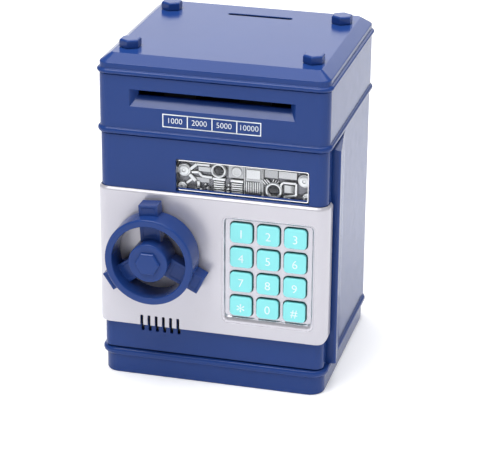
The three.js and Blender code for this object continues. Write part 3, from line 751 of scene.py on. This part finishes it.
PANEL_WALL = 1.1
PANEL_R = 6.9
EDGE_DROP = 2.0  # the panel's top edge rolls back over this height
FRONT_VIEW_R = 4
SILL = 3.4  # height of the recess's sloped lower edge
RECESS_DROP = 1.8
TRAY_R = 3.1
TRAY_GROWTH = 0.25
PANEL_CUT_GROWTH = 0.27
TRAY_RISE = 0.9
panel_rows = [
    (wrap_ring(PANEL_X, PANEL_FRONT, 0.6, PANEL_R), PANEL_BOTTOM),
    (wrap_ring(PANEL_X, PANEL_FRONT, 0.18, PANEL_R), PANEL_BOTTOM + 0.2),
    (wrap_ring(PANEL_X, PANEL_FRONT, 0, PANEL_R), PANEL_BOTTOM + 0.7),
    (wrap_ring(PANEL_X, PANEL_FRONT, 0, PANEL_R), PANEL_TOP - EDGE_DROP),
]
for inset, drop in ((0.07, 1.5), (0.22, 1.2), (0.9, 0.35), (1.0, 0.14), (1.03, 0)):
    panel_rows.append((wrap_ring(PANEL_X, PANEL_FRONT, inset, PANEL_R), PANEL_TOP - drop))
panel = to_object("front_panel_moulding", loft(panel_rows))
carve(
    panel,
    behind(PANEL_RETURN),
    prism(wrap_ring(PANEL_X, PANEL_FRONT, PANEL_WALL, PANEL_R), PANEL_BOTTOM - 1, PANEL_TOP + 1),
)
# The front view is rounded at its two lower corners: the outline runs on above the panel.
panel_height = PANEL_TOP + 10 - PANEL_BOTTOM
panel_centre = (0, PANEL_BOTTOM + panel_height / 2)
front_view = ring(PANEL_X + 0.02, panel_height / 2, FRONT_VIEW_R, 8, panel_centre)
combine(panel, "INTERSECT", facing(prism(front_view, -60, 20), -50))


def recess_ring(side, bottom, r):
    """The keypad recess, narrowed by side all round and raised by bottom at its lower edge."""
    centre = (KEYPAD[0], KEYPAD[1] + (bottom - side - RECESS_DROP) / 2)
    return ring(KEYPAD_HALF[0] - side, KEYPAD_HALF[1] + (RECESS_DROP - side - bottom) / 2, r, 6, centre)


carve(panel, facing(prism(recess_ring(-PANEL_CUT_GROWTH, -PANEL_CUT_GROWTH, TRAY_R), -5, 5), PANEL_FRONT))
tray_back = PAN_FLOOR + TRAY_RISE
tray = to_object("keypad_tray_moulding", facing(
    prism(recess_ring(-TRAY_GROWTH, -TRAY_GROWTH, TRAY_R), 0, tray_back - PANEL_FRONT), tray_back,
))
KEY_PITCH = (15.1, 14.5)
KEY_HALF = (6.2, 5.7)
KEY_GAP = 0.55
KEY_HOLE_R = 2.7
KEYS = ["1", "2", "3", "4", "5", "6", "7", "8", "9", "star", "0", "hash"]
key_places = {
    name: (KEYPAD[0] + (i % 3 - 1) * KEY_PITCH[0], KEYPAD[1] + (1.5 - i // 3) * KEY_PITCH[1])
    for i, name in enumerate(KEYS)
}
pan_depth = PAN_FLOOR - PANEL_FRONT


def key_hole(place):
    outline = ring(KEY_HALF[0] + KEY_GAP, KEY_HALF[1] + KEY_GAP, KEY_HOLE_R, 6, place)
    return facing(prism(outline, -5, 5), PAN_FLOOR)


# The recess slopes in most at its lower edge, and the twelve key holes go through its floor.
carve(
    tray,
    facing(loft([
        (recess_ring(1.3, SILL, 2), 0),
        (recess_ring(1.0, SILL - 0.5, 2.2), pan_depth * 0.55),
        (recess_ring(0.45, SILL - 1.8, 2.6), pan_depth * 0.86),
        (recess_ring(0, 0, 3), pan_depth + 0.02),
    ]), PAN_FLOOR),
    together(*[key_hole(place) for place in key_places.values()]),
)
carve(panel, door_openings())
dress(panel, silver, "door", ["front_panel"], 0.1, 2, 30)
dress(tray, silver_gloss, "door", radius=0.12, segments=2, sharp=30)

# ---------------------------------------------------------------- keys
GLYPHS = {"star": "*", "hash": "#"}
GLYPH_SIZES = {"star": 11}
GLYPH_SIZE = 7.0
GLYPH_DROPS = {"star": 3.1}  # a star is drawn high in its line, so it is set lower
GLYPH_DROP = 0.6
GLYPH_THINNINGS = {"star": 0.0, "1": 0.02, "hash": 0.03}
GLYPH_THINNING = 0.07
GLYPH_DEPTH = 0.08
KEY_BACK = span("key_5", Y)[1]
KEY_R = 2.2
KEY_ROLL = 0.55
KEY_ROLL_RISE = 0.45
FLANGE_R = 1.2
FLANGE_REACH = 1.1
FLANGE_THICK = 0.8


def key_ring(place, inset, r):
    return ring(KEY_HALF[0] - inset, KEY_HALF[1] - inset, r, 6, place)


def key_rows(place):
    """A key's sections from its retaining flange to its rolled edge and nearly flat face."""
    face = KEY_BACK - KEY_FACE
    flange = key_ring(place, -FLANGE_REACH, FLANGE_R)
    side = key_ring(place, 0, KEY_R)
    rows = [(flange, 0), (flange, FLANGE_THICK), (side, FLANGE_THICK + 0.05), (side, face - KEY_ROLL)]
    for i in range(1, 6):
        angle = 18 * i * DEG
        inset = KEY_ROLL * (1 - math.cos(angle))
        height = face - KEY_ROLL + KEY_ROLL_RISE * math.sin(angle)
        rows.append((key_ring(place, inset, KEY_R - inset * 0.7), height))
    rows.append((key_ring(place, 2.6, 1.6), face))
    return rows


for name, place in key_places.items():
    key_body = "key_" + name
    key = to_object(f"key_{name}_cap", facing(loft(key_rows(place)), KEY_BACK))
    dress(key, turquoise, key_body, [key_body], 0)
    lettering(
        f"key_{name}_glyph", GLYPHS.get(name, name), GLYPH_SIZES.get(name, GLYPH_SIZE),
        place[0], place[1] - GLYPH_DROPS.get(name, GLYPH_DROP), KEY_FACE, key_body,
        GLYPH_DEPTH, GLYPH_THINNINGS.get(name, GLYPH_THINNING),
    )

# ---------------------------------------------------------------- window
BEZEL_OUT = 0.15
BEZEL_IN = -0.4
PANE_LAP = 0.6
bezel = to_object("window_bezel", facing(loft([
    (window_ring(0, BEZEL_OUT), -2.0),
    (window_ring(0, BEZEL_OUT), -1.5),
    (window_ring(0, BEZEL_OUT - 0.2), -1.3),
]), DOOR_FRONT))
# Its left side is cut away: the trim runs along the top, right and bottom only.
carve(
    bezel,
    facing(prism(window_ring(0, BEZEL_IN), -3, 0), DOOR_FRONT),
    block((WINDOW_X[0] - 2, WINDOW_X[0] + 0.7), (-60, -50), (WINDOW_Z[0] - 2, WINDOW_Z[1] + 2)),
)
dress(bezel, chrome_bright, "door", radius=0)
PANE_Y = span("window_lens", Y)
pane_ring = ring(window_half[0] + PANE_LAP, window_half[1] + PANE_LAP, 1, 4, window_centre)
pane = to_object("window_pane", facing(prism(pane_ring, PANE_Y[0] - PANE_Y[1], 0), PANE_Y[0]))
dress(pane, clear, "door", ["window_lens"], radius=0)
SILL_X = (WINDOW_X[0], WINDOW_X[1] - 0.6)
sill = block(SILL_X, (DOOR_FRONT + 1.4, DOOR_FRONT + 1.9), (WINDOW_Z[0] + 0.35, WINDOW_Z[0] + 1.3))
dress(to_object("window_sill", sill), blue, "door", radius=0.15)


# The mechanism relief. Heights are above its ground, before the stretch; roots go into the ground.
RELIEF_STRETCH = 1.2
RELIEF_ROOT = -0.4
PLATE_LAP = 2
RELIEF_SHIFT = -1.5  # the features sit this much below the places listed here


def boss(x, z, profile, sides=28):
    """A round relief feature, from radius and height pairs."""
    raised = [(r, height * RELIEF_STRETCH) for r, height in profile]
    return facing(turned([(profile[0][0], RELIEF_ROOT)] + raised, sides, (x, z)), RELIEF_GROUND)


def slab(x, z, height):
    """A rectangular relief feature."""
    return facing(block(x, z, (RELIEF_ROOT, height * RELIEF_STRETCH)), RELIEF_GROUND)


def bar(start, end, width, height):
    """A straight raised bar between two points of the relief."""
    direction = Vector((end[0] - start[0], end[1] - start[1])).normalized()
    side = Vector((-direction.y, direction.x)) * width / 2
    a = Vector(start)
    b = Vector(end)
    plan = [tuple(a - side), tuple(b - side), tuple(b + side), tuple(a + side)]
    return facing(prism(plan, RELIEF_ROOT, height * RELIEF_STRETCH), RELIEF_GROUND)


def lowered(bm):
    bm.transform(Matrix.Translation((0, 0, RELIEF_SHIFT * MM)))
    return bm


relief = []
LENSES = ((2.8, 128.4, 4.4), (33.6, 120.1, 4.8))
# Bolt heads in the corners, each a stepped disc with a dimple.
for x, z, r in ((-16.6, 127.0, 3.8), (-17.6, 117.6, 2.5), (50.6, 127.4, 3.8), (51.9, 117.8, 2.5)):
    profile = [(r, 1.0), (r - 0.35, 1.5), (r - 0.9, 1.5), (r - 1.1, 1.9), (r * 0.3, 2.1), (r * 0.28, 1.7)]
    relief.append(boss(x, z, profile))
# Two ringed lenses.
for x, z, r in LENSES:
    relief.append(boss(x, z, [(r, 1.2), (r - 0.5, 1.9), (r - 1.1, 1.9), (r - 1.5, 1.3), (r - 1.7, 0.5)], 36))
# A flat cover with a shallow disc.
relief.append(slab((8.2, 16.8), (124.8, 131.6), 0.7))
relief.append(boss(12.9, 128.6, [(2.9, 0.9), (2.6, 1.15), (1.9, 1.15), (1.7, 1.0)]))
# Finned cylinders.
FINS = 6
for x0, x1, z0, z1 in ((0.2, 6.1, 115.2, 124.4), (10.2, 16.2, 115.2, 124.2)):
    pitch = (z1 - 1.5 - z0) / FINS
    relief.append(slab((x0 - 0.5, x1 + 0.5), (z1 - 1.3, z1), 1.9))
    relief.append(slab((x0 + 0.5, x1 - 0.5), (z0, z1 - 1), 0.9))
    for i in range(FINS):
        relief.append(slab((x0, x1), (z0 + i * pitch, z0 + i * pitch + pitch * 0.55), 1.6))
# Central housing with upright fins.
relief.append(slab((17.6, 26.8), (118.2, 131.6), 0.8))
relief.append(slab((18.4, 26.0), (125.6, 130.8), 1.2))
for i in range(8):
    x0 = 18.3 + i * 1.0
    relief.append(slab((x0, x0 + 0.5), (117.6, 123.8), 1.5))
relief.append(slab((17.0, 17.5), (115.5, 131.8), 1.1))
relief.append(slab((27.2, 27.7), (116.5, 131.8), 1.1))
# Right-hand covers, and angled fins over the lower lens.
relief.append(slab((28.2, 35.6), (126.9, 131.4), 0.6))
relief.append(slab((36.1, 46.2), (127.4, 131.4), 0.9))
for i in range(3):
    relief.append(bar((26.9 + i * 1.3, 125.6 + i * 0.4), (29.0 + i * 1.3, 123.4 + i * 0.4), 0.6, 1.5))
for i in range(3):
    relief.append(bar((33.0 + i * 1.2, 125.0 - i * 0.2), (33.6 + i * 1.4, 126.6 - i * 0.3), 0.5, 1.2))
# Square pipe loop beside the lower lens.
for start, end in (
    ((37.4, 118.4), (37.4, 123.6)),
    ((37.4, 123.6), (38.8, 125.3)),
    ((38.8, 125.3), (46.0, 125.3)),
    ((46.0, 125.3), (46.0, 118.6)),
    ((46.0, 118.6), (39.2, 117.0)),
):
    relief.append(bar(start, end, 1.1, 1.5))
relief.append(slab((39.4, 44.4), (119.4, 123.8), 0.9))
for i in range(4):
    relief.append(slab((43.2 + i * 0.55, 43.45 + i * 0.55), (119.6, 123.6), 1.3))
# Left-hand pipework.
for start, end, width in (
    ((-13.2, 127.6), (-9.6, 130.8), 1.6),
    ((-9.6, 130.8), (-2.4, 130.8), 1.2),
    ((-13.6, 124.6), (-10.2, 121.2), 1.8),
    ((-12.4, 126.0), (-8.4, 126.4), 1.3),
    ((-8.4, 126.4), (-6.6, 124.2), 1.2),
    ((-6.6, 124.2), (-0.8, 124.0), 1.2),
    ((-15.2, 119.4), (-12.2, 122.0), 1.2),
):
    relief.append(bar(start, end, width, 1.3))
relief.append(slab((-8.6, -1.2), (126.9, 129.6), 0.9))
relief.append(slab((-11.2, -2.6), (120.4, 123.2), 0.6))
# Small rivets.
for x, z, r in (
    (-8.6, 118.6, 1.0), (-7.2, 116.4, 0.8), (-9.9, 116.3, 0.8), (-3.2, 117.4, 1.0), (-4.6, 119.6, 0.6),
    (8.2, 118.2, 0.8), (8.3, 120.6, 0.6), (8.0, 116.2, 0.9), (27.4, 115.9, 0.9), (42.0, 116.0, 0.9),
):
    relief.append(boss(x, z, [(r, 0.9), (r * 0.8, 1.3), (r * 0.4, 1.5)], 16))
relief.append(slab((-9.4, -7.8), (117.0, 121.0), 1.2))
features = lowered(together(*relief))
plate_ring = ring(window_half[0] + PLATE_LAP, window_half[1] + PLATE_LAP, 1, 3, window_centre)
plate = facing(prism(plate_ring, RELIEF_GROUND - RELIEF_BACK, 0.0), RELIEF_GROUND)
detail = to_object("mechanism_relief_detail", together(plate, features))
dress(detail, chrome, "door", ["mechanism_relief"], 0.1, 2)
for i, (x, z, ring_r) in enumerate(LENSES):
    r = ring_r - 1.6
    profile = [(r, 0.2), (r, 0.6), (r * 0.92, 1.2), (r * 0.7, 1.7), (r * 0.4, 2.0), (r * 0.1, 2.1)]
    dome = lowered(facing(turned(profile, 32, (x, z)), RELIEF_GROUND))
    dress(to_object(f"relief_lens_{i + 1}", dome), lens_dark, "door", radius=0)

# ---------------------------------------------------------------- handwheel
RIM_R = 25
RIM_INNER = 20.9
RIM_DEPTH = 16.2
RIM_ROLL = 1.1
HUB_R = 11.1
HUB_DEPTH = 17
SPOKES = (94, -26, 214)
SPOKE_HALF = 5.7
SPOKE_DEPTH = (1, 9)
LUG_HALF = 5.4
LUG_REACH = 30.7
LUG_DEPTH = (0.3, 9.2)
SHAFT_BORE_R = 2.8
SUNK = 0.35
CAP_R = 7.1
# The wheel is drawn lying down about the origin, and this stands it up on the door, facing the front.
WHEEL_PLACE = (
    Matrix.Translation((WHEEL_X * MM, WHEEL_BACK * MM, WHEEL_Z * MM)) @ Matrix.Rotation(math.pi / 2, 4, "X")
)


def ring_lathe(profile, sides):
    """A ring turned from a closed profile that stays off the axis."""
    bm = bmesh.new()
    rows = [[bm.verts.new((x * MM, y * MM, h * MM)) for x, y in circle(r, sides)] for r, h in profile]
    for low, high in zip(rows, rows[1:] + rows[:1]):
        for i in range(sides):
            j = (i + 1) % sides
            bm.faces.new((low[i], low[j], high[j], high[i]))
    return bm


def turn_by(bm, angle):
    bm.transform(Matrix.Rotation(angle * DEG, 4, "Z"))
    return bm


def rectangle(x, y):
    """Corners of a rectangle between the two ends given for each axis."""
    return [(x[1], y[1]), (x[0], y[1]), (x[0], y[0]), (x[1], y[0])]


def spoke(angle):
    return turn_by(block((HUB_R - 2, RIM_INNER + 1.5), (-SPOKE_HALF, SPOKE_HALF), SPOKE_DEPTH), angle)


def lug(angle):
    return turn_by(block((RIM_R - 1.5, LUG_REACH), (-LUG_HALF, LUG_HALF), LUG_DEPTH), angle)


def sunk_panel(floor_plan, mouth_plan, face, angle):
    """A shallow pocket with sloped sides, in the face of a spoke or lug."""
    return turn_by(loft([(rectangle(*floor_plan), face - SUNK), (rectangle(*mouth_plan), face + 0.1)]), angle)


rim_profile = [(RIM_INNER, 0.3), (RIM_INNER + 0.3, 0), (RIM_R - 0.8, 0), (RIM_R - 0.5, 0.3)]
rim_profile += [(RIM_R - 0.5, 1.6), (RIM_R, 1.9), (RIM_R, RIM_DEPTH - RIM_ROLL)]
rim_profile += arc((RIM_R - RIM_ROLL, RIM_DEPTH - RIM_ROLL), RIM_ROLL, 0, 90, 5)[1:]
rim_profile += arc((RIM_INNER + 0.6, RIM_DEPTH - 0.6), 0.6, 90, 180, 4)
wheel = to_object("handwheel_moulding", ring_lathe(rim_profile, 120))
hub_profile = [(HUB_R - 0.4, 0.8), (HUB_R, 1.2), (HUB_R, HUB_DEPTH - 0.8)]
hub_profile += arc((HUB_R - 0.8, HUB_DEPTH - 0.8), 0.8, 0, 90, 5)[1:]
hub_profile += [(HUB_R - 1.1, HUB_DEPTH)]
weld(wheel, *[spoke(angle) for angle in SPOKES])
weld(wheel, turned(hub_profile, 72))
weld(wheel, *[lug(angle) for angle in SPOKES])
SPOKE_PANEL = ((12.8, 19.6), (-3.7, 3.7)), ((12.4, 20.0), (-4.1, 4.1))
LUG_PANEL = ((26.3, 29.0), (-3.4, 3.4)), ((25.6, 29.5), (-3.9, 3.9))
carve(
    wheel,
    prism(circle(SHAFT_BORE_R, 32), -1, 13),
    *[sunk_panel(*SPOKE_PANEL, SPOKE_DEPTH[1], angle) for angle in SPOKES],
    *[sunk_panel(*LUG_PANEL, LUG_DEPTH[1], angle) for angle in SPOKES],
)
wheel.data.transform(WHEEL_PLACE)
dress(wheel, blue, "handwheel", ["handwheel"], 0.3, 3, 40, outward=True)

cap = turned([(CAP_R, HUB_DEPTH), (CAP_R, HUB_DEPTH + 1.1), (CAP_R - 0.8, HUB_DEPTH + 1.75)], 6)
cap.transform(WHEEL_PLACE)
dress(to_object("wheel_cap_moulding", cap), blue, "handwheel", ["wheel_cap"], 0.25, 3, 20)

# ---------------------------------------------------------------- pieces that keep their CAD shape
CAD_EDGE = 0.15
CAD_SHARP = 35 * DEG
FINISHES = [
    (steel, [
        "base_screw_", "door_screw_", "hinge_pin_", "drive_shaft", "idler_shaft", "feed_motor", "wheel_shaft",
        "latch_cam", "lock_solenoid",
    ]),
    (black, ["coin_chute", "feed_frame", "speaker", "idler_roller_"]),
    (rubber, ["keypad_membrane", "drive_roller_"]),
    (board, ["circuit_board"]),
    (jacket, ["aa_cell_"]),
    (blue, ["door_cover", "battery_box", "battery_cover"]),
]
for finish, prefixes in FINISHES:
    for name, cad in nodes.items():
        if any(name.startswith(prefix) for prefix in prefixes):
            cad.data.materials.clear()
            cad.data.materials.append(finish)
            edge = cad.modifiers.new("edges", "BEVEL")
            edge.width = CAD_EDGE * MM
            edge.segments = 2
            edge.limit_method = "ANGLE"
            edge.angle_limit = CAD_SHARP

# ---------------------------------------------------------------- floor, lights and camera
FLOOR_GLOW = 0.22
WORLD_LIGHT = 0.3
floor_mesh = bmesh.new()
bmesh.ops.create_grid(floor_mesh, x_segments=8, y_segments=8, size=3.0)
floor = to_object("floor", floor_mesh)
floor_paint, floor_shader = shader("floor_paper", (0.86, 0.86, 0.87), 0.9)
floor_gloss = varied(floor_paint, noise(floor_paint, PAPER_SCALE), 0.85, 0.95)
link(floor_paint, floor_gloss, floor_shader.inputs["Roughness"])
floor_shader.inputs["Emission Color"].default_value = (1.0, 1.0, 1.0, 1)
floor_shader.inputs["Emission Strength"].default_value = FLOOR_GLOW
floor.data.materials.append(floor_paint)

world = bpy.data.worlds.new("studio")
bpy.context.scene.world = world
world.use_nodes = True
world.node_tree.nodes["Background"].inputs["Color"].default_value = (1.0, 1.0, 1.0, 1)
world.node_tree.nodes["Background"].inputs["Strength"].default_value = WORLD_LIGHT
bpy.context.scene.view_settings.view_transform = "Standard"


def softbox(name, place, target, size, power):
    """A rectangular studio light, in metres and watts, that points at a target."""
    data = bpy.data.lights.new(name, "AREA")
    data.shape = "RECTANGLE"
    data.size, data.size_y = size
    data.energy = power
    lamp = bpy.data.objects.new(name, data)
    lamp.location = place
    lamp.rotation_euler = (Vector(target) - Vector(place)).to_track_quat("-Z", "Y").to_euler()
    bpy.context.scene.collection.objects.link(lamp)


softbox("key_light", (-0.4, -0.75, 1.45), (0, 0, 0.1), (0.8, 0.6), 9.0)
softbox("top_light", (0.0, -0.1, 1.9), (0, 0, 0.0), (1.8, 2.3), 48.0)
softbox("back_light", (-0.3, 1.5, 0.66), (0, 0, 0.15), (1.8, 0.7), 6.0)
softbox("side_light", (1.5, -0.2, 0.5), (0, 0, 0.1), (1.2, 0.9), 1.6)

CAMERA_AZIMUTH = 13.9 * DEG
CAMERA_ELEVATION = 21.69 * DEG
CAMERA_ROLL = 0.73 * DEG
CAMERA_DISTANCE = 1.1514
CAMERA_TARGET = Vector((0.0166, 0, 0.0928))
CAMERA_SHIFT = (-0.0339, -0.0828)
FOCAL_LENGTH = 145.6
SENSOR_WIDTH = 36
back = Vector((
    math.sin(CAMERA_AZIMUTH) * math.cos(CAMERA_ELEVATION),
    -math.cos(CAMERA_AZIMUTH) * math.cos(CAMERA_ELEVATION),
    math.sin(CAMERA_ELEVATION),
))
level = Vector((math.cos(CAMERA_AZIMUTH), math.sin(CAMERA_AZIMUTH), 0))
upright = back.cross(level)
right = level * math.cos(CAMERA_ROLL) + upright * math.sin(CAMERA_ROLL)
up = back.cross(right)
camera_data = bpy.data.cameras.new("camera")
camera_data.lens = FOCAL_LENGTH
camera_data.sensor_width = SENSOR_WIDTH
camera_data.shift_x, camera_data.shift_y = CAMERA_SHIFT
camera_data.clip_start = 0.01
camera_data.clip_end = 20
camera = bpy.data.objects.new("camera", camera_data)
camera_turn = Matrix((right, up, back)).transposed().to_4x4()
camera.matrix_world = Matrix.Translation(CAMERA_TARGET + back * CAMERA_DISTANCE) @ camera_turn
bpy.context.scene.collection.objects.link(camera)
bpy.context.scene.camera = camera
